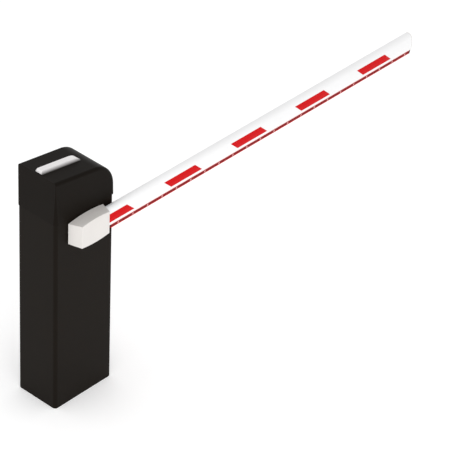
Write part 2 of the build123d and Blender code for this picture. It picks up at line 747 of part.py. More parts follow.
ledge_z = shell_top + hood_seal_height
outside, (roof_x, roof_z) = hood_form(0, seam_z, hood_edge_radius)
inside, _ = hood_form(hood_wall, ledge_z, hood_edge_radius - hood_wall)
skirt = upright(
    body_width + 2 * hood_skirt_gap, body_depth + 2 * hood_skirt_gap, body_corner + hood_skirt_gap, (seam_z - 1, ledge_z)
)
ledge = upright(2 * inner_x - 10, 2 * inner_y - 10, body_corner - sheet, (ledge_z - 1, ledge_z + 4))
hood = keep(outside, skirt, ledge, inside & block((-200, 200), (-150, 150), (ledge_z + 4, ledge_z + 300)))
seal = upright(body_width - 1, body_depth - 1, body_corner, (shell_top, ledge_z))
seal -= upright(2 * inner_x - 12, 2 * inner_y - 12, body_corner - sheet, (shell_top - 1, ledge_z + 1))
add("hood_seal", seal)

roof_frame = Pos(roof_x, 0, roof_z) * Rot(Y=roof_slope)
lens_from = (lens_start - roof_x) / cos(slope)
flat_end = lens_length - lens_run_out


def lens_form(inset, foot):
    """The lens outside, or its hollow: a flat-topped tongue that runs out toward the falling end."""
    height = lens_height - inset
    line = Polyline(
        (flat_end, height), (inset + lens_end_lean, height), (inset, foot), (lens_length - 2 * inset, foot)
    )
    run = ThreePointArc(
        (lens_length - 2 * inset, foot), (
            lens_length - inset - lens_run_out * 0.36, foot + (height - foot) * 0.62
        ), (flat_end, height)
    )
    tongue = along_y(make_face(Curve([*line.edges(), run])), (-lens_width, lens_width))
    half = lens_width / 2 - inset
    flank = Polyline(
        (-half, foot), (half, foot), (half - lens_flank_lean, height), (-half + lens_flank_lean, height),
        close=True
    )
    plan = RectangleRounded(lens_length - 2 * inset, 2 * half, lens_end_radius - inset)
    plan = Pos(lens_length / 2, 0, foot) * extrude(plan, 40)
    return tongue & along_x(make_face(flank), (-10, lens_length + 10)) & plan


lens = lens_form(0, 0) - lens_form(2, -1)
groove_x, groove_width, groove_depth = lens_groove
groove_half = lens_width / 2 - lens_flank_lean - 2
lens -= block(
    (groove_x, groove_x + groove_width), (-groove_half, groove_half),
    (lens_height - groove_depth, lens_height + 1)
)
add("light_lens", roof_frame * Pos(lens_from, 0, 0) * lens)
window = (lens_from + lens_window_margin, lens_from + flat_end)
window_half = lens_width / 2 - lens_window_margin
hood = hood - roof_frame * block(window, (-window_half, window_half), (-hood_wall - 1, 1))
board_low = -hood_wall / cos(draft) - 2
light_board = block(
    (window[0] - 8, window[1] + 8), (-window_half - 8, window_half + 8), (board_low, board_low + 2)
)
led_pitch = (window[1] - window[0]) / 8
for i in range(8):
    low = window[0] + (i + 0.3) * led_pitch
    light_board += block((low, low + 0.4 * led_pitch), (-4, 4), (board_low + 2, board_low + 6))
add("light_board", roof_frame * light_board)
boss_places = [(sx * (inner_x - 12), sy * (inner_y - 12)) for sx in (-1, 1) for sy in (-1, 1)]
bosses = [rod_z(x, y, 9, (ledge_z, ledge_z + 26)) & outside for x, y in boss_places]
for (x, y), boss in zip(boss_places, bosses):
    hood = hood + boss
    hood -= rod_z(x, y, 3, (ledge_z - 1, ledge_z + 18))
    shell -= rod_z(x, y, 3.2, (shell_top - sheet - 1, shell_top + 1))
add("hood", hood)
add("hood_screws", *[
    rod_z(x, y, 3, (shell_top - sheet, ledge_z + 17)) + rod_z(
        x, y, 6, (shell_top - sheet - 4, shell_top - sheet)
    )
    for x, y in boss_places
])
add("cabinet_shell", shell)

# ================================================================ boom
def boom_outline(offset):
    """The boom's section in Y and Z about its own middle, set out or in by an offset."""
    foot = boom_half_width - boom_foot_inset
    across, up = boom_half_width - boom_shoulder_inset, boom_shoulder_height
    outer = Curve([
        ThreePointArc((foot, -strip_top), (boom_half_width, boom_belly), (across, up)),
        ThreePointArc((across, up), (0, boom_half_height), (-across, up)),
        ThreePointArc((-across, up), (-boom_half_width, boom_belly), (-foot, -strip_top)),
        Line((-foot, -strip_top), (foot, -strip_top)),
    ])
    face = make_face(outer)
    return offset_face(face, offset)


def offset_face(face, amount):
    """A face grown or shrunk by an amount with rounded corners."""
    return face if amount == 0 else offset(face, amount)


def boom_solid(amount, x):
    """The boom's section carried between two values of x."""
    return Pos(0, boom_y, boom_z) * along_x(boom_outline(amount), x)


boom_x = (boom_start_x, boom_tip_x)
boom = boom_solid(0, boom_x) - boom_solid(-boom_wall, (boom_x[0] - 1, boom_x[1] + 1))
bolt_places = [(x, boom_z) for x in clamp_bolt_places]
for x, z in bolt_places:
    boom -= rod_y(x, z, clamp_bolt_radius + 0.3, (boom_y - 40, boom_y + 40))
add("boom_profile", boom)
end_cap = boom_solid(0, (boom_tip_x, boom_tip_x + boom_cap)) + boom_solid(
    -boom_wall, (boom_tip_x - 10, boom_tip_x)
)
add("boom_end_cap", end_cap)

stickers = []
wrap = boom_solid(
    sticker_thickness, (boom_start_x, boom_tip_x)
) - boom_solid(0, (boom_start_x - 1, boom_tip_x + 1))
for i in range(sticker_count):
    start = sticker_first_x + i * sticker_pitch
    low = boom_z + sticker_top - sticker_height
    slanted = Polyline(
        (start, low + sticker_height), (start + sticker_length, low + sticker_height),
        (start + sticker_length + sticker_slant, low), (start + sticker_slant, low), close=True,
    )
    for y, least_x in (
        ((boom_y - 40, boom_y), cover_front_half - 6), ((boom_y, boom_y + 40), cover_back_half + 1)
    ):
        stickers.append(wrap & along_y(make_face(slanted), y) & block((least_x, 3000), y, (0, 2000)))
add("boom_stickers", *stickers)


def strip_outline(amount):
    """The strip's section under the boom, set out by an amount at its two flanks."""
    top = -strip_top
    return make_face(Polyline(
        (strip_top_half + amount, top), (strip_bottom_half + amount, top - strip_height),
        (-strip_bottom_half - amount, top - strip_height), (-strip_top_half - amount, top), close=True,
    ))


strip_x = (strip_start_x, boom_tip_x - strip_end_gap)
strip_place = Pos(0, boom_y, boom_z)
light_count = int((strip_x[1] - 10 - marker_first_x) / marker_pitch) + 1
light_starts = [marker_first_x + i * marker_pitch for i in range(light_count)]
strip = strip_place * along_x(strip_outline(0), strip_x)
band = []
for start in light_starts:
    slot = strip_place * along_x(strip_outline(marker_proud), (start, start + marker_width))
    slot = slot & block(
        (0, 3000), (-400, 400), (boom_z - strip_top - strip_height + 4, boom_z - strip_top - 4)
    )
    band.append(slot)
strip = strip - Compound(band)
add("edge_strip", strip)
add("strip_lights", *band)
add("strip_end", strip_place * along_x(strip_outline(0.4), (strip_x[1], boom_tip_x)))

# ================================================================ boom bracket and arm cover
channel_top = boom_half_height + 0.2
channel_low = -strip_top - 0.2
channel_front = boom_y - boom_half_width + 3
back_plate_y = (flange_y[0] - bracket_plate, flange_y[0])
bracket = block(
    bracket_span, back_plate_y, (boom_z + channel_low - bracket_flange, boom_z + channel_top + bracket_flange)
)
for low in (channel_low - bracket_flange, channel_top):
    bracket += block(
        bracket_span, (channel_front, back_plate_y[1]), (boom_z + low, boom_z + low + bracket_flange)
    )
for x, z in bolt_places:
    bracket -= rod_y(x, z, clamp_bolt_radius, (back_plate_y[0] - 1, back_plate_y[1] + 1))
cover_screw_places = [(x, boom_y) for x in (-9, 9)]
screws = []
for x, z in flange_screw_places:
    cone = Pos(x, back_plate_y[0] + 1.6, z) * Rot(X=-90) * Cone(3, 6, 3.2)
    screw = cone + rod_y(x, z, 3, (back_plate_y[0], flange_y[1]))
    bracket -= cone + rod_y(x, z, 3, (back_plate_y[0] - 1, back_plate_y[1] + 1))
    screws.append(screw)
add("bracket_screws", *screws)
clamp_y = (boom_y - boom_half_width - bracket_gap - clamp_strip, boom_y - boom_half_width - bracket_gap)
clamp = block(bracket_span, clamp_y, (boom_z - 12, boom_z + 12))
for x, z in bolt_places:
    clamp -= rod_y(x, z, clamp_bolt_radius, (clamp_y[0] - 1, clamp_y[1] + 1))
add("clamp_strip", clamp)
add("clamp_bolts", *[
    rod_y(
        x, z, clamp_bolt_radius, (clamp_y[0], back_plate_y[1])
    ) + rod_y(x, z, 7, (clamp_y[0] - 2.4, clamp_y[0]))
    for x, z in bolt_places
])


def cover_form(inset, y):
    """The cover's barrel outline with its slanted ends, or a hollow set inside it."""
    rise = cover_mid_half_height - inset
    end = cover_end_half_height - inset
    back = cover_back_half + 4
    outline = Curve([
        ThreePointArc((-back, end), (0, rise), (back, end)),
        Line((back, end), (back, -end)),
        ThreePointArc((back, -end), (0, -rise), (-back, -end)),
        Line((-back, -end), (-back, end)),
    ])
    form = along_y(Pos(0, boom_z) * make_face(outline), y)
    lean = (cover_back_half - cover_front_half) / cover_depth
    near = cover_front_half - inset
    far = near + lean * 80
    plan = Polyline(
        (-near, cover_front_y), (near, cover_front_y), (far, cover_front_y + 80), (-far, cover_front_y + 80),
        close=True
    )
    return form & extrude(Pos(0, 0, boom_z - 80) * make_face(plan), 160)


cover = cover_form(0, (cover_front_y, cover_back_y))
cover = fillet(cover.edges().filter_by(lambda e: abs(e.center().Y - cover_front_y) < 0.01), cover_edge_radius)
cover -= cover_form(cover_wall, (cover_front_y + cover_wall, cover_back_y + 1))
opening = boom_solid(0.6, (0, 200)) + strip_place * along_x(strip_outline(0.6), (0, 200))
cover -= opening
low_wall_z = boom_z - cover_mid_half_height
for x, y in cover_screw_places:
    post = rod_z(x, y, 5, (low_wall_z + 2.6, boom_z + channel_low - bracket_flange))
    cover = cover + post - rod_z(x, y, 2, (low_wall_z - 1, boom_z))
    bracket -= rod_z(x, y, 2, (boom_z + channel_low - bracket_flange - 1, boom_z + channel_low + 0.1))
add("arm_bracket", bracket)
add("arm_cover", cover)
add("cover_screws", *[
    rod_z(
        x, y, 2, (low_wall_z, boom_z + channel_low)
    ) + rod_z(x, y, 4, (low_wall_z - 1.6, low_wall_z)) for x, y in cover_screw_places
])
add("rear_plate", rear)

os.makedirs("parts", exist_ok=True)
for name, shape in parts.items():
    export_step(shape, f"parts/{name}.step")
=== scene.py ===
import math

import bmesh
import bpy
from mathutils import Matrix, Vector


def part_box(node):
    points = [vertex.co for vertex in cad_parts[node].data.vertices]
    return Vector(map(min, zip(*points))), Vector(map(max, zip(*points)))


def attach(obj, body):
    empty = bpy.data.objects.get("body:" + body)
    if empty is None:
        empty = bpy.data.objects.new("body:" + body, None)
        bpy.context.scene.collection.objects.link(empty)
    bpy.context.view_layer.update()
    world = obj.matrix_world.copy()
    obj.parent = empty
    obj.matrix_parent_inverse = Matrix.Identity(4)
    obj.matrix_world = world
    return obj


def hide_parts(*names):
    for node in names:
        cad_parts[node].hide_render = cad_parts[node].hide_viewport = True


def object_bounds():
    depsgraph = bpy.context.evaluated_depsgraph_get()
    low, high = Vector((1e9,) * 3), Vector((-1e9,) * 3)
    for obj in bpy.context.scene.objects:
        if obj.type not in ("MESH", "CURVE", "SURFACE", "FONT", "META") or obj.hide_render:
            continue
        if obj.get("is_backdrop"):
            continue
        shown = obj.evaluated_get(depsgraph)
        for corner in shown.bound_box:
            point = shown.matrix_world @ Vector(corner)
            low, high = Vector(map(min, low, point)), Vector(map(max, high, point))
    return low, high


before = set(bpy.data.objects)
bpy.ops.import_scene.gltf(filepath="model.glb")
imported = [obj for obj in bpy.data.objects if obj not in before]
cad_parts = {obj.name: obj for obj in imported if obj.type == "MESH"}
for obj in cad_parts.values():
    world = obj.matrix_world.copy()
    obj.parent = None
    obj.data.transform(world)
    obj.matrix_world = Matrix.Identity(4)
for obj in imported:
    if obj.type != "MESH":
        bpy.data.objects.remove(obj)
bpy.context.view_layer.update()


# The cabinet is folded and welded from 2 mm sheet steel, and its service door hangs in the back wall.
# Both are powder coated in one dark satin colour that mirrors little. The coat flows before it sets, so
# it keeps a fine orange-peel skin and a slightly uneven sheen.
def linear(colour):
    """An sRGB hex colour as the linear red, green, blue and alpha that a shader takes."""
    channels = [int(colour[i:i + 2], 16) / 255 for i in (1, 3, 5)]
    return (*(c / 12.92 if c <= 0.04045 else ((c + 0.055) / 1.055) ** 2.4 for c in channels), 1.0)


def repeats(millimetres):
    """A pattern's scale, which is how many of its marks, this far apart, fit in a metre."""
    return 1000.0 / millimetres


def add(tree, kind, links=None, **settings):
    """Adds one node with its settings. Each socket takes a value, a link or a list of links."""
    node = tree.nodes.new(kind)
    for name, value in settings.items():
        setattr(node, name, value)
    for socket, given in (links or {}).items():
        for value in given if isinstance(given, list) else [given]:
            if isinstance(value, bpy.types.NodeSocket):
                tree.links.new(value, node.inputs[socket])
            else:
                node.inputs[socket].default_value = value
    return node


def material(name):
    """An empty node material: its tree, and the Object coordinates that its patterns read."""
    made = bpy.data.materials.new(name)
    made.use_nodes = True
    made.node_tree.nodes.clear()
    return made, made.node_tree, add(made.node_tree, "ShaderNodeTexCoord").outputs["Object"]


def finish(made, shader, *nodes):
    """Ends a material with its surface and puts it on CAD nodes."""
    add(made.node_tree, "ShaderNodeOutputMaterial", {"Surface": shader.outputs[0]})
    for name in nodes:
        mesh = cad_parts[name].data
        mesh.materials.clear()
        mesh.materials.append(made)


coat, tree, place = material("dark_powder_coated_steel")
peel = add(tree, "ShaderNodeTexNoise", {
    "Vector": place, "Scale": repeats(1.11), "Detail": 2.0, "Roughness": 0.5,
})
cloud = add(tree, "ShaderNodeTexNoise", {
    "Vector": place, "Scale": repeats(111), "Detail": 3.0, "Roughness": 0.55,
})
tone = add(tree, "ShaderNodeMix", {
    "Factor": cloud.outputs["Fac"], "A": linear("#130F0B"), "B": linear("#19140F"),
}, data_type="RGBA")
sheen = add(tree, "ShaderNodeMapRange", {"Value": cloud.outputs["Fac"], "To Min": 0.40, "To Max": 0.50})
skin = add(tree, "ShaderNodeBump", {"Height": peel.outputs["Fac"], "Strength": 0.12, "Distance": 0.0002})
surface = add(tree, "ShaderNodeBsdfPrincipled", {
    "Base Color": tone.outputs["Result"], "Roughness": sheen.outputs["Result"],
    "Normal": skin.outputs["Normal"], "IOR": 1.50, "Specular IOR Level": 0.05,
})
finish(coat, surface, "cabinet_shell", "door")


# The hood is moulded in dark ABS, a little browner than the steel below it, and lifts off the seal on the
# cabinet's rim. The mould is spark-eroded, which leaves a fine grain, drawn at 1.4 mm so that it shows.
abs_dark, tree, place = material("dark_moulded_abs")
grain = add(tree, "ShaderNodeTexVoronoi", {"Vector": place, "Scale": repeats(1.43)})
cloud = add(tree, "ShaderNodeTexNoise", {"Vector": place, "Scale": repeats(143), "Detail": 2.0})
tone = add(tree, "ShaderNodeMix", {
    "Factor": cloud.outputs["Fac"], "A": linear("#0F0B07"), "B": linear("#140F0A"),
}, data_type="RGBA")
skin = add(tree, "ShaderNodeBump", {
    "Height": grain.outputs["Distance"], "Strength": 0.10, "Distance": 0.0002,
})
surface = add(tree, "ShaderNodeBsdfPrincipled", {
    "Base Color": tone.outputs["Result"], "Roughness": 0.46, "Normal": skin.outputs["Normal"], "IOR": 1.53,
    "Specular IOR Level": 0.05,
})
finish(abs_dark, surface, "hood")


# The seal, the grommet in the conduit hole, the stop buffers and the strip's end plug are black rubber,
# moulded and matt, with a bloom that lightens it in patches.
rubber, tree, place = material("black_epdm_rubber")
bloom = add(tree, "ShaderNodeTexNoise", {"Vector": place, "Scale": repeats(16.7), "Detail": 4.0})
tone = add(tree, "ShaderNodeMix", {
    "Factor": bloom.outputs["Fac"], "A": linear("#141414"), "B": linear("#262625"),
}, data_type="RGBA")
skin = add(tree, "ShaderNodeBump", {"Height": bloom.outputs["Fac"], "Strength": 0.15, "Distance": 0.0003})
surface = add(tree, "ShaderNodeBsdfPrincipled", {
    "Base Color": tone.outputs["Result"], "Roughness": 0.72, "Normal": skin.outputs["Normal"], "IOR": 1.52,
})
finish(rubber, surface, "hood_seal", "conduit_grommet", "stop_buffers", "strip_end")


# The light lens is moulded in frosted polycarbonate over a row of lamps. The frosting scatters the light,
# so its top looks pale and slightly deep. Its long flanks are painted darker towards the roof that they
# stand on: painted shade, standing in for the shade at their foot.
# Its edges are broken by the mould, here by a bevel on a copy of the CAD piece.
frosted, tree, place = material("frosted_polycarbonate")
lens_low, lens_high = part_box("light_lens")
lens_middle = (lens_low[1] + lens_high[1]) / 2
lens_half = (lens_high[1] - lens_low[1]) / 2
painted_shade_reach, dark_rim = 0.0068, 0.0004
haze = add(tree, "ShaderNodeTexNoise", {"Vector": place, "Scale": repeats(8.33), "Detail": 2.0})
tone = add(tree, "ShaderNodeMix", {
    "Factor": haze.outputs["Fac"], "A": linear("#EFECEC"), "B": linear("#F8F5F5"),
}, data_type="RGBA")
across = add(tree, "ShaderNodeSeparateXYZ", {"Vector": place})
offset = add(tree, "ShaderNodeMath", {0: across.outputs["Y"], 1: lens_middle}, operation="SUBTRACT")
aside = add(tree, "ShaderNodeMath", {0: offset.outputs[0]}, operation="ABSOLUTE")
# Painted shade: the colour darkens towards the lens's long outer sides, fully dark at the very rim.
painted_flank_shade = add(tree, "ShaderNodeMapRange", {
    "Value": aside.outputs[0], "From Min": lens_half - painted_shade_reach, "From Max": lens_half - dark_rim,
})
shaded = add(tree, "ShaderNodeMix", {
    "Factor": painted_flank_shade.outputs["Result"], "A": tone.outputs["Result"], "B": linear("#4A4644"),
}, data_type="RGBA")
skin = add(tree, "ShaderNodeBump", {"Height": haze.outputs["Fac"], "Strength": 0.08, "Distance": 0.0002})
surface = add(tree, "ShaderNodeBsdfPrincipled", {
    "Base Color": shaded.outputs["Result"], "Roughness": 0.24, "Normal": skin.outputs["Normal"],
    "IOR": 1.58, "Transmission Weight": 0.12,
})
finish(frosted, surface)

weld_distance, flat_angle, edge_angle = 0.00001, math.radians(2.0), math.radians(25.0)
lens = bpy.data.objects.new("frosted_lens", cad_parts["light_lens"].data.copy())
bpy.context.scene.collection.objects.link(lens)
shape = bmesh.new()
shape.from_mesh(lens.data)
bmesh.ops.remove_doubles(shape, verts=shape.verts, dist=weld_distance)
bmesh.ops.dissolve_limit(shape, angle_limit=flat_angle, verts=shape.verts, edges=shape.edges)
shape.to_mesh(lens.data)
shape.free()
broken = lens.modifiers.new("broken_edges", "BEVEL")
broken.width = 0.0008
broken.segments = 3
broken.angle_limit = edge_angle
broken.use_clamp_overlap = True
evaluated = lens.evaluated_get(bpy.context.evaluated_depsgraph_get())
lens_mesh = bpy.data.meshes.new_from_object(evaluated)
lens.modifiers.clear()
lens.data = lens_mesh
lens.data.materials.clear()
lens.data.materials.append(frosted)
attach(lens, "frame")
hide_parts("light_lens")


# The boom is an extruded aluminium tube with a gloss white powder coat, smooth enough to show soft
# highlights. Under the paint are the faint lengthwise lines of the extrusion, drawn some 6 mm apart and
# over a metre long so that they show.
white_paint, tree, place = material("white_powder_coated_aluminium")
stretch = add(tree, "ShaderNodeMapping", {
    "Vector": place, "Scale": (repeats(1670), repeats(6.25), repeats(6.25)),
})
lines = add(tree, "ShaderNodeTexNoise", {"Vector": stretch.outputs["Vector"], "Scale": 1.0, "Detail": 2.0})
dust = add(tree, "ShaderNodeTexNoise", {"Vector": place, "Scale": repeats(200), "Detail": 4.0})
tone = add(tree, "ShaderNodeMix", {
    "Factor": dust.outputs["Fac"], "A": linear("#EAEAEA"), "B": linear("#EFEFF0"),
}, data_type="RGBA")
skin = add(tree, "ShaderNodeBump", {"Height": lines.outputs["Fac"], "Strength": 0.06, "Distance": 0.0003})
surface = add(tree, "ShaderNodeBsdfPrincipled", {
    "Base Color": tone.outputs["Result"], "Roughness": 0.28, "Normal": skin.outputs["Normal"], "IOR": 1.50,
})
finish(white_paint, surface, "boom_profile")


# The arm cover and the boom's end cap are moulded in white ABS, warmer than the paint of the boom. Their
# fine satin grain is drawn at 1.25 mm so that it shows.
abs_white, tree, place = material("white_moulded_abs")
grain = add(tree, "ShaderNodeTexNoise", {"Vector": place, "Scale": repeats(1.25), "Detail": 1.0})
cloud = add(tree, "ShaderNodeTexNoise", {"Vector": place, "Scale": repeats(83.3), "Detail": 3.0})
tone = add(tree, "ShaderNodeMix", {
    "Factor": cloud.outputs["Fac"], "A": linear("#D3CFCB"), "B": linear("#DAD6D2"),
}, data_type="RGBA")
skin = add(tree, "ShaderNodeBump", {"Height": grain.outputs["Fac"], "Strength": 0.08, "Distance": 0.0002})
surface = add(tree, "ShaderNodeBsdfPrincipled", {
    "Base Color": tone.outputs["Result"], "Roughness": 0.42, "Normal": skin.outputs["Normal"], "IOR": 1.53,
})
finish(abs_white, surface, "arm_cover", "boom_end_cap")


# The slanted stickers are red retroreflective film. Its face is smooth, and the sealed cells under it
# make a fine honeycomb, drawn at 4 mm so that it shows.
film, tree, place = material("red_reflective_film")
cells = add(tree, "ShaderNodeTexVoronoi", {
    "Vector": place, "Scale": repeats(4),
}, feature="DISTANCE_TO_EDGE")
wall = add(tree, "ShaderNodeMapRange", {
    "Value": cells.outputs["Distance"], "From Max": 0.12, "To Min": 1.0, "To Max": 0.0,
})
tone = add(tree, "ShaderNodeMix", {
    "Factor": wall.outputs["Result"], "A": linear("#C40009"), "B": linear("#CE1418"),
}, data_type="RGBA")
surface = add(tree, "ShaderNodeBsdfPrincipled", {
    "Base Color": tone.outputs["Result"], "Roughness": 0.35, "IOR": 1.49, "Specular IOR Level": 0.06,
})
finish(film, surface, "boom_stickers")


# The strip along the boom's underside is pushed into the boom's foot. It is one extrusion of translucent
# red PVC with a raised lip along its top and its foot, round a core that is set back between them. The
# core is painted a darker red than the lips, as painted shade. The die leaves long faint streaks.
def sized_tree(name, sizes):
    """A Geometry Nodes tree with a named input for each size, and those inputs' sockets."""
    tree = bpy.data.node_groups.new(name, "GeometryNodeTree")
    tree.interface.new_socket("Geometry", in_out="OUTPUT", socket_type="NodeSocketGeometry")
    for size, value in sizes.items():
        kind = "NodeSocketInt" if isinstance(value, int) else "NodeSocketFloat"
        tree.interface.new_socket(size, in_out="INPUT", socket_type=kind)
    return tree, tree.nodes.new("NodeGroupInput").outputs


def bar(tree, tall, foot_width, top_width, corner, corner_points, length):
    """A closed bar that runs up Z, as tall along Y and as wide along X, with its long edges rounded."""
    section = add(tree, "GeometryNodeCurvePrimitiveQuadrilateral", {
        "Height": tall, "Bottom Width": foot_width, "Top Width": top_width, "Offset": 0.0,
    }, mode="TRAPEZOID")
    rounded = add(tree, "GeometryNodeFilletCurve", {
        "Curve": section.outputs["Curve"], "Radius": corner, "Count": corner_points,
    }, mode="POLY")
    filled = add(tree, "GeometryNodeFillCurve", {"Curve": rounded.outputs["Curve"]}, mode="NGONS")
    run = add(tree, "ShaderNodeCombineXYZ", {"Z": length})
    swept = add(tree, "GeometryNodeExtrudeMesh", {
        "Mesh": filled.outputs["Mesh"], "Offset": run.outputs["Vector"], "Individual": False,
    })
    heel = add(tree, "GeometryNodeFlipFaces", {"Mesh": filled.outputs["Mesh"]})
    closed = add(tree, "GeometryNodeJoinGeometry", {
        "Geometry": [swept.outputs["Mesh"], heel.outputs["Mesh"]],
    })
    welded = add(tree, "GeometryNodeMergeByDistance", {
        "Geometry": closed.outputs["Geometry"], "Distance": weld_distance,
    })
    return welded.outputs["Geometry"]


def grown(name, tree, shape, made, sizes):
    """Ends a tree with its material, runs it once with its sizes, and keeps the plain mesh it makes."""
    real = add(tree, "GeometryNodeRealizeInstances", {"Geometry": shape})
    ended = add(tree, "GeometryNodeSetMaterial", {"Geometry": real.outputs["Geometry"], "Material": made})
    add(tree, "NodeGroupOutput", {"Geometry": ended.outputs["Geometry"]})
    piece = bpy.data.objects.new(name, bpy.data.meshes.new(name))
    bpy.context.scene.collection.objects.link(piece)
    modifier = piece.modifiers.new(name, "NODES")
    modifier.node_group = tree
    for item in tree.interface.items_tree:
        if item.in_out == "INPUT":
            modifier[item.identifier] = sizes[item.name]
    evaluated = piece.evaluated_get(bpy.context.evaluated_depsgraph_get())
    piece_mesh = bpy.data.meshes.new_from_object(evaluated)
    piece.modifiers.clear()
    piece.data = piece_mesh
    return piece


strip_red, tree, place = material("translucent_red_pvc")
streak = add(tree, "ShaderNodeMapping", {
    "Vector": place, "Scale": (repeats(83.3), repeats(8.33), repeats(8.33)),
})
flow = add(tree, "ShaderNodeTexNoise", {"Vector": streak.outputs["Vector"], "Scale": 1.0, "Detail": 3.0})
tone = add(tree, "ShaderNodeMix", {
    "Factor": flow.outputs["Fac"], "A": linear("#B4080E"), "B": linear("#CC1418"),
}, data_type="RGBA")
surface = add(tree, "ShaderNodeBsdfPrincipled", {
    "Base Color": tone.outputs["Result"], "Roughness": 0.32, "IOR": 1.53, "Specular IOR Level": 0.08,
    "Subsurface Weight": 0.15, "Subsurface Scale": 0.003,
})
finish(strip_red, surface)
# The core is the same PVC as the lips, painted a darker red as shade on the strip's middle.
painted_shade_core_red, tree, place = material("red_pvc_core_painted_shade")
streak = add(tree, "ShaderNodeMapping", {
    "Vector": place, "Scale": (repeats(83.3), repeats(8.33), repeats(8.33)),
})
flow = add(tree, "ShaderNodeTexNoise", {"Vector": streak.outputs["Vector"], "Scale": 1.0, "Detail": 3.0})
tone = add(tree, "ShaderNodeMix", {
    "Factor": flow.outputs["Fac"], "A": linear("#660A0C"), "B": linear("#7A1312"),
}, data_type="RGBA")
surface = add(tree, "ShaderNodeBsdfPrincipled", {
    "Base Color": tone.outputs["Result"], "Roughness": 0.38, "IOR": 1.53, "Specular IOR Level": 0.06,
})
finish(painted_shade_core_red, surface)

strip_low, strip_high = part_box("edge_strip")
lip_height, core_set_back, foot_share, corner_radius = 0.0048, 0.0008, 0.79, 0.0006
strip_width = strip_high[1] - strip_low[1]
strip_height = strip_high[2] - strip_low[2]
strip_sizes = {
    "Start": strip_low[0], "Length": strip_high[0] - strip_low[0],
    "Middle": (strip_low[1] + strip_high[1]) / 2, "Foot": strip_low[2],
    "Height": strip_height, "Top width": strip_width, "Foot width": strip_width * foot_share,
    "Lip": lip_height, "Shoulder": strip_height - lip_height, "Proud": -core_set_back,
    "Corner": corner_radius,
}


def band(tree, given, low, high, proud):
    """The strip's rounded section between two heights, as far proud of its flanks, swept along the boom."""
    tall = add(tree, "ShaderNodeMath", {0: high, 1: low}, operation="SUBTRACT")
    widths = []
    for level in (low, high):
        flanks = add(tree, "ShaderNodeMapRange", {
            "Value": level, "From Min": 0.0, "From Max": given["Height"],
            "To Min": given["Foot width"], "To Max": given["Top width"],
        })
        wider = add(tree, "ShaderNodeMath", {
            0: proud, 1: 2.0, 2: flanks.outputs["Result"],
        }, operation="MULTIPLY_ADD")
        widths.append(wider.outputs[0])
    upright = bar(
        tree, tall.outputs[0], *widths, corner=given["Corner"], corner_points=3, length=given["Length"],
    )
    levels = add(tree, "ShaderNodeMath", {0: low, 1: high}, operation="ADD")
    middle = add(tree, "ShaderNodeMath", {
        0: levels.outputs[0], 1: 0.5, 2: given["Foot"],
    }, operation="MULTIPLY_ADD")
    spot = add(tree, "ShaderNodeCombineXYZ", {
        "X": given["Start"], "Y": given["Middle"], "Z": middle.outputs[0],
    })
    laid = add(tree, "GeometryNodeTransform", {
        "Geometry": upright, "Translation": spot.outputs["Vector"],
        "Rotation": (math.pi / 2, 0.0, math.pi / 2),
    })
    return laid.outputs["Geometry"]


tree, given = sized_tree("strip_lips", strip_sizes)
foot_lip = band(tree, given, 0.0, given["Lip"], 0.0)
top_lip = band(tree, given, given["Shoulder"], given["Height"], 0.0)
lips = add(tree, "GeometryNodeJoinGeometry", {"Geometry": [foot_lip, top_lip]})
strip_lips = grown("strip_lips", tree, lips.outputs["Geometry"], strip_red, strip_sizes)
tree, given = sized_tree("strip_core", strip_sizes)
core = band(tree, given, given["Lip"], given["Shoulder"], given["Proud"])
strip_core = grown("strip_core", tree, core, painted_shade_core_red, strip_sizes)
for piece in (strip_lips, strip_core):
    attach(piece, "boom_arm")
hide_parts("edge_strip")


# A light window of pink acrylic is pressed through the strip's core every 80 mm, just proud of the core and
# rounded at its edges. It is there to let a lamp shine out, and looks pale and clouded when that is off.
acrylic, tree, place = material("pale_pink_acrylic")
haze = add(tree, "ShaderNodeTexNoise", {"Vector": place, "Scale": repeats(3.33)})
tone = add(tree, "ShaderNodeMix", {
    "Factor": haze.outputs["Fac"], "A": linear("#C98380"), "B": linear("#DDA5A2"),
}, data_type="RGBA")
surface = add(tree, "ShaderNodeBsdfPrincipled", {
    "Base Color": tone.outputs["Result"], "Roughness": 0.22, "IOR": 1.49,
})
finish(acrylic, surface)

light_low, light_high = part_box("strip_lights")
window_pitch, window_width, window_proud = 0.080, 0.005, 0.0006
window_row = light_high[0] - light_low[0] - window_width
window_sizes = {
    **strip_sizes, "Start": light_low[0], "Length": window_width, "Proud": window_proud,
    "Pitch": window_pitch, "Windows": round(window_row / window_pitch) + 1,
}
tree, given = sized_tree("strip_windows", window_sizes)
pane = band(tree, given, given["Lip"], given["Shoulder"], given["Proud"])
step = add(tree, "ShaderNodeCombineXYZ", {"X": given["Pitch"]})
row = add(tree, "GeometryNodeMeshLine", {
    "Count": given["Windows"], "Offset": step.outputs["Vector"],
}, mode="OFFSET")
panes = add(tree, "GeometryNodeInstanceOnPoints", {"Points": row.outputs["Mesh"], "Instance": pane})
strip_windows = grown("strip_windows", tree, panes.outputs["Instances"], acrylic, window_sizes)
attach(strip_windows, "boom_arm")
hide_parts("strip_lights")


# Base plate, frame plates, shelf, spacers and the boom's bracket are cut and folded from steel and hot-dip
# galvanised. The zinc sets in pale and dark spangles, drawn some 6 mm across so that they show.
zinc, tree, place = material("galvanised_steel")
spangle = add(tree, "ShaderNodeTexVoronoi", {"Vector": place, "Scale": repeats(6.25)})
tint = add(tree, "ShaderNodeSeparateColor", {"Color": spangle.outputs["Color"]})
tone = add(tree, "ShaderNodeMix", {
    "Factor": tint.outputs["Red"], "A": linear("#8E9193"), "B": linear("#A9ACAD"),
}, data_type="RGBA")
dull = add(tree, "ShaderNodeMapRange", {"Value": tint.outputs["Green"], "To Min": 0.38, "To Max": 0.55})
surface = add(tree, "ShaderNodeBsdfPrincipled", {
    "Base Color": tone.outputs["Result"], "Metallic": 1.0, "Roughness": dull.outputs["Result"],
})
finish(
    zinc, surface, "base_plate", "front_plate", "rear_plate", "shelf", "frame_spacers", "arm_bracket",
    "clamp_strip",
)


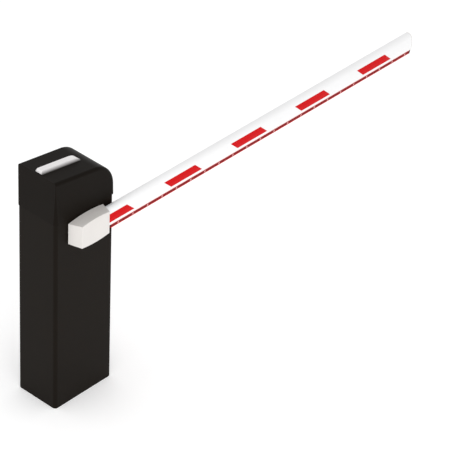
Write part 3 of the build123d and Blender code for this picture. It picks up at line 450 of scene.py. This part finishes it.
# Screws, nuts, hinge pins, the tension bolt and the lock's cam are zinc plated and passivated, brighter
# than the plates, with the soft mottling of tumbled parts.
plated, tree, place = material("zinc_plated_steel")
mottle = add(tree, "ShaderNodeTexNoise", {"Vector": place, "Scale": repeats(4.55), "Detail": 3.0})
tone = add(tree, "ShaderNodeMix", {
    "Factor": mottle.outputs["Fac"], "A": linear("#A5A8A4"), "B": linear("#C3C5BF"),
}, data_type="RGBA")
surface = add(tree, "ShaderNodeBsdfPrincipled", {
    "Base Color": tone.outputs["Result"], "Metallic": 1.0, "Roughness": 0.32,
})
finish(
    plated, surface, "frame_fasteners", "gearbox_screws", "hood_screws", "bracket_screws", "clamp_bolts",
    "cover_screws", "tension_bolt", "hinge_pins", "lock_cam",
)


# Shafts, levers, rods and the yoke are turned or ground steel under a film of oil. The tool leaves fine
# rings, drawn some 2 mm apart so that they show. A wave at a scale of one repeats every tau / 20.
ground, tree, place = material("ground_steel")
rings = add(tree, "ShaderNodeTexWave", {
    "Vector": place, "Scale": repeats(1.96) * math.tau / 20, "Distortion": 1.5, "Detail": 2.0,
}, bands_direction="Y")
tone = add(tree, "ShaderNodeMix", {
    "Factor": rings.outputs["Fac"], "A": linear("#7F8284"), "B": linear("#999C9E"),
}, data_type="RGBA")
skin = add(tree, "ShaderNodeBump", {"Height": rings.outputs["Fac"], "Strength": 0.10, "Distance": 0.0002})
surface = add(tree, "ShaderNodeBsdfPrincipled", {
    "Base Color": tone.outputs["Result"], "Metallic": 1.0, "Roughness": 0.30,
    "Normal": skin.outputs["Normal"],
})
finish(
    ground, surface, "main_shaft", "drive_lever", "balance_lever", "stop_arm", "crank", "output_shaft",
    "connecting_rod", "worm_shaft", "rotor", "stator", "spring_yoke", "spring_rod", "guide_rods",
)


# The balance spring is coiled cold from drawn spring wire. While the boom is down, it is stretched between
# the plugs of the spring rod and the tension bolt. Drawing leaves the wire dark, and it is lightly oiled.
wire, tree, place = material("oiled_spring_wire")
drawn = add(tree, "ShaderNodeTexNoise", {"Vector": place, "Scale": repeats(5.56), "Detail": 3.0})
tone = add(tree, "ShaderNodeMix", {
    "Factor": drawn.outputs["Fac"], "A": linear("#3C3E42"), "B": linear("#565A5E"),
}, data_type="RGBA")
surface = add(tree, "ShaderNodeBsdfPrincipled", {
    "Base Color": tone.outputs["Result"], "Metallic": 1.0, "Roughness": 0.36,
})
finish(wire, surface, "balance_spring")


# The flanged bearing blocks that carry the shaft in the frame plates are grey cast iron. The sand of the
# mould leaves them a rough, dark and dull skin.
iron, tree, place = material("grey_cast_iron")
sand = add(tree, "ShaderNodeTexNoise", {"Vector": place, "Scale": repeats(3.85), "Detail": 5.0})
tone = add(tree, "ShaderNodeMix", {
    "Factor": sand.outputs["Fac"], "A": linear("#3E3F40"), "B": linear("#565758"),
}, data_type="RGBA")
skin = add(tree, "ShaderNodeBump", {"Height": sand.outputs["Fac"], "Strength": 0.4, "Distance": 0.0005})
surface = add(tree, "ShaderNodeBsdfPrincipled", {
    "Base Color": tone.outputs["Result"], "Metallic": 0.8, "Roughness": 0.6,
    "Normal": skin.outputs["Normal"],
})
finish(iron, surface, "shaft_bearings")


# The gearbox's housing and cover and the motor's body are die-cast in aluminium and left bare, so they
# look pale, slightly pebbled and dull.
cast, tree, place = material("die_cast_aluminium")
pebble = add(tree, "ShaderNodeTexNoise", {"Vector": place, "Scale": repeats(3.33), "Detail": 4.0})
tone = add(tree, "ShaderNodeMix", {
    "Factor": pebble.outputs["Fac"], "A": linear("#95989A"), "B": linear("#AEB1B2"),
}, data_type="RGBA")
skin = add(tree, "ShaderNodeBump", {"Height": pebble.outputs["Fac"], "Strength": 0.25, "Distance": 0.0004})
surface = add(tree, "ShaderNodeBsdfPrincipled", {
    "Base Color": tone.outputs["Result"], "Metallic": 1.0, "Roughness": 0.45,
    "Normal": skin.outputs["Normal"],
})
finish(cast, surface, "gearbox_housing", "gearbox_cover", "motor_body")


# Cooling ribs are cast along the motor's barrel, 36 of them all round, so that it sheds its heat without a
# fan. They are thin, with drafted rounded crests, and stop short of the barrel's ends.
barrel_low, barrel_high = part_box("motor_body")
plain_foot, plain_head = 0.012, 0.022
rib_sizes = {
    "Radius": (barrel_high[0] - barrel_low[0]) / 2, "Middle X": (barrel_low[0] + barrel_high[0]) / 2,
    "Middle Y": (barrel_low[1] + barrel_high[1]) / 2, "Low end": barrel_low[2] + plain_foot,
    "Length": barrel_high[2] - barrel_low[2] - plain_foot - plain_head,
    "Depth": 0.0035, "Sunk": 0.0005, "Root": 0.0028, "Crest": 0.0018, "Corner": 0.0005, "Ribs": 36,
}
tree, given = sized_tree("motor_ribs", rib_sizes)
rib = bar(
    tree, given["Depth"], given["Root"], given["Crest"],
    corner=given["Corner"], corner_points=2, length=given["Length"],
)
half_out = add(tree, "ShaderNodeMath", {
    0: given["Depth"], 1: 0.5, 2: given["Radius"],
}, operation="MULTIPLY_ADD")
outwards = add(tree, "ShaderNodeMath", {0: half_out.outputs[0], 1: given["Sunk"]}, operation="SUBTRACT")
out = add(tree, "ShaderNodeCombineXYZ", {"Y": outwards.outputs[0]})
rib_out = add(tree, "GeometryNodeTransform", {"Geometry": rib, "Translation": out.outputs["Vector"]})
centre = add(tree, "GeometryNodeMeshLine", {
    "Count": given["Ribs"], "Offset": (0.0, 0.0, 0.0),
}, mode="OFFSET")
index = add(tree, "GeometryNodeInputIndex")
share = add(tree, "ShaderNodeMath", {0: index.outputs["Index"], 1: given["Ribs"]}, operation="DIVIDE")
angle = add(tree, "ShaderNodeMath", {0: share.outputs[0], 1: math.tau}, operation="MULTIPLY")
turn = add(tree, "ShaderNodeCombineXYZ", {"Z": angle.outputs[0]})
ring = add(tree, "GeometryNodeInstanceOnPoints", {
    "Points": centre.outputs["Mesh"], "Instance": rib_out.outputs["Geometry"],
    "Rotation": turn.outputs["Vector"],
})
spot = add(tree, "ShaderNodeCombineXYZ", {
    "X": given["Middle X"], "Y": given["Middle Y"], "Z": given["Low end"],
})
placed = add(tree, "GeometryNodeTransform", {
    "Geometry": ring.outputs["Instances"], "Translation": spot.outputs["Vector"],
})
motor_ribs = grown("motor_ribs", tree, placed.outputs["Geometry"], cast, rib_sizes)
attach(motor_ribs, "frame")


# The worm wheel is machined from bronze, and the sensors' barrels and the lock's plug are turned from
# brass. Air and handling dull them in patches.
bronze, tree, place = material("machined_bronze")
oxide = add(tree, "ShaderNodeTexNoise", {"Vector": place, "Scale": repeats(11.1), "Detail": 4.0})
tone = add(tree, "ShaderNodeMix", {
    "Factor": oxide.outputs["Fac"], "A": linear("#8F6A34"), "B": linear("#B58C4A"),
}, data_type="RGBA")
surface = add(tree, "ShaderNodeBsdfPrincipled", {
    "Base Color": tone.outputs["Result"], "Metallic": 1.0, "Roughness": 0.34,
})
finish(bronze, surface, "worm_wheel", "position_sensors", "lock_plug")


# The lock's body is die-cast zinc under polished chrome. It mirrors what is round it, apart from faint
# smears where keys and fingers touch it.
chrome, tree, place = material("polished_chrome")
smear = add(tree, "ShaderNodeTexNoise", {"Vector": place, "Scale": repeats(12.5), "Detail": 3.0})
gloss = add(tree, "ShaderNodeMapRange", {"Value": smear.outputs["Fac"], "To Min": 0.08, "To Max": 0.18})
surface = add(tree, "ShaderNodeBsdfPrincipled", {
    "Base Color": linear("#C6C8CA"), "Metallic": 1.0, "Roughness": gloss.outputs["Result"],
})
finish(chrome, surface, "lock_body")


# The control box, the motor's capacitor and the button that lowers the boom are moulded in grey ABS, with
# a fine grain drawn at 1.4 mm so that it shows.
abs_grey, tree, place = material("grey_moulded_abs")
grain = add(tree, "ShaderNodeTexNoise", {"Vector": place, "Scale": repeats(1.43), "Detail": 1.0})
cloud = add(tree, "ShaderNodeTexNoise", {"Vector": place, "Scale": repeats(66.7), "Detail": 2.0})
tone = add(tree, "ShaderNodeMix", {
    "Factor": cloud.outputs["Fac"], "A": linear("#84888B"), "B": linear("#92969A"),
}, data_type="RGBA")
skin = add(tree, "ShaderNodeBump", {"Height": grain.outputs["Fac"], "Strength": 0.1, "Distance": 0.0002})
surface = add(tree, "ShaderNodeBsdfPrincipled", {
    "Base Color": tone.outputs["Result"], "Roughness": 0.5, "Normal": skin.outputs["Normal"], "IOR": 1.53,
})
finish(abs_grey, surface, "control_box", "motor_capacitor", "lower_button")


# Two boards, one with the control's parts and one with lamps, are glass-fibre laminate under a green
# lacquer. Copper shows through it as paler lines, drawn round plain fields of 5.6 by 2.8 mm.
laminate, tree, place = material("green_lacquered_laminate")
tracks = add(tree, "ShaderNodeTexBrick", {
    "Vector": place, "Scale": repeats(5.56) / 2,
    "Color1": linear("#1A5234"), "Color2": linear("#1F6440"), "Mortar": linear("#2C8052"),
})
surface = add(tree, "ShaderNodeBsdfPrincipled", {
    "Base Color": tracks.outputs["Color"], "Roughness": 0.3, "IOR": 1.5,
})
finish(laminate, surface, "control_board", "light_board")


# Two push buttons and the release lever are moulded in coloured nylon: green to raise, red to stop, and a
# red lever that frees the boom by hand.
for name, low, high, parts in (
    ("green_nylon", "#26783F", "#2F8A4C", ("raise_button",)),
    ("red_nylon", "#A21D1A", "#B82620", ("stop_button", "release_lever")),
):
    nylon, tree, place = material(name)
    cloud = add(tree, "ShaderNodeTexNoise", {"Vector": place, "Scale": repeats(6.67), "Detail": 2.0})
    tone = add(tree, "ShaderNodeMix", {
        "Factor": cloud.outputs["Fac"], "A": linear(low), "B": linear(high),
    }, data_type="RGBA")
    surface = add(tree, "ShaderNodeBsdfPrincipled", {
        "Base Color": tone.outputs["Result"], "Roughness": 0.42, "IOR": 1.53,
    })
    finish(nylon, surface, *parts)


# The gate stands on a plain pale floor that runs out to the horizon. It gives off a little light of its
# own, so that it stays near white.
pale, tree, place = material("pale_floor")
mist = add(tree, "ShaderNodeTexNoise", {"Vector": place, "Scale": repeats(1250), "Detail": 1.0})
tone = add(tree, "ShaderNodeMix", {
    "Factor": mist.outputs["Fac"], "A": linear("#FBFBFB"), "B": linear("#FDFDFD"),
}, data_type="RGBA")
surface = add(tree, "ShaderNodeBsdfPrincipled", {
    "Base Color": tone.outputs["Result"], "Roughness": 0.9, "Specular IOR Level": 0.0,
    "Emission Color": linear("#FFFFFF"), "Emission Strength": 0.15,
})
finish(pale, surface)
reach = 40.0
corners = [(-reach, -reach, 0), (reach, -reach, 0), (reach, reach, 0), (-reach, reach, 0)]
floor_mesh = bpy.data.meshes.new("floor")
floor_mesh.from_pydata(corners, [], [(0, 1, 2, 3)])
floor_mesh.materials.append(pale)
floor = bpy.data.objects.new("floor", floor_mesh)
bpy.context.scene.collection.objects.link(floor)
floor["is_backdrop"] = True


# Plain soft studio light: a white surround, and one wide soft lamp in front and to the left. The Standard
# view shows each colour as it is given, with no film curve over it.
world = bpy.data.worlds.new("white_surround")
world.use_nodes = True
surround = world.node_tree.nodes["Background"]
surround.inputs["Color"].default_value = linear("#FFFFFF")
surround.inputs["Strength"].default_value = 0.92
bpy.context.scene.world = world
bpy.context.scene.view_settings.view_transform = "Standard"

lamp_spot, lamp_aim = Vector((-4.0, -4.6, 2.4)), Vector((0.3, 0.0, 0.7))
lamp = bpy.data.objects.new("left_lamp", bpy.data.lights.new("left_lamp", "AREA"))
lamp.data.size = 4.0
lamp.data.energy = 120.0
lamp.location = lamp_spot
lamp.rotation_euler = (lamp_aim - lamp_spot).to_track_quat("-Z", "Y").to_euler()
bpy.context.scene.collection.objects.link(lamp)


# The camera looks down from the left front with a long lens, from about 12 m, so that the gate's edges run
# nearly parallel. It is rolled by 2.4 degrees.
azimuth, elevation, roll = (math.radians(angle) for angle in (-48.41, 35.94, 2.38))
camera_spot = Vector((-6.8598, -6.8972, 7.8262))
back = Vector((
    math.sin(azimuth) * math.cos(elevation), -math.cos(azimuth) * math.cos(elevation), math.sin(elevation),
))
aim = back.to_track_quat("Z", "Y").to_matrix().to_4x4() @ Matrix.Rotation(roll, 4, "Z")
camera = bpy.data.objects.new("camera", bpy.data.cameras.new("camera"))
camera.data.lens = 252.9
camera.data.clip_end = 200.0
camera.matrix_world = Matrix.Translation(camera_spot) @ aim
bpy.context.scene.collection.objects.link(camera)
bpy.context.scene.camera = camera


# The box round everything that renders, without the floor, is measured.
low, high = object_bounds()
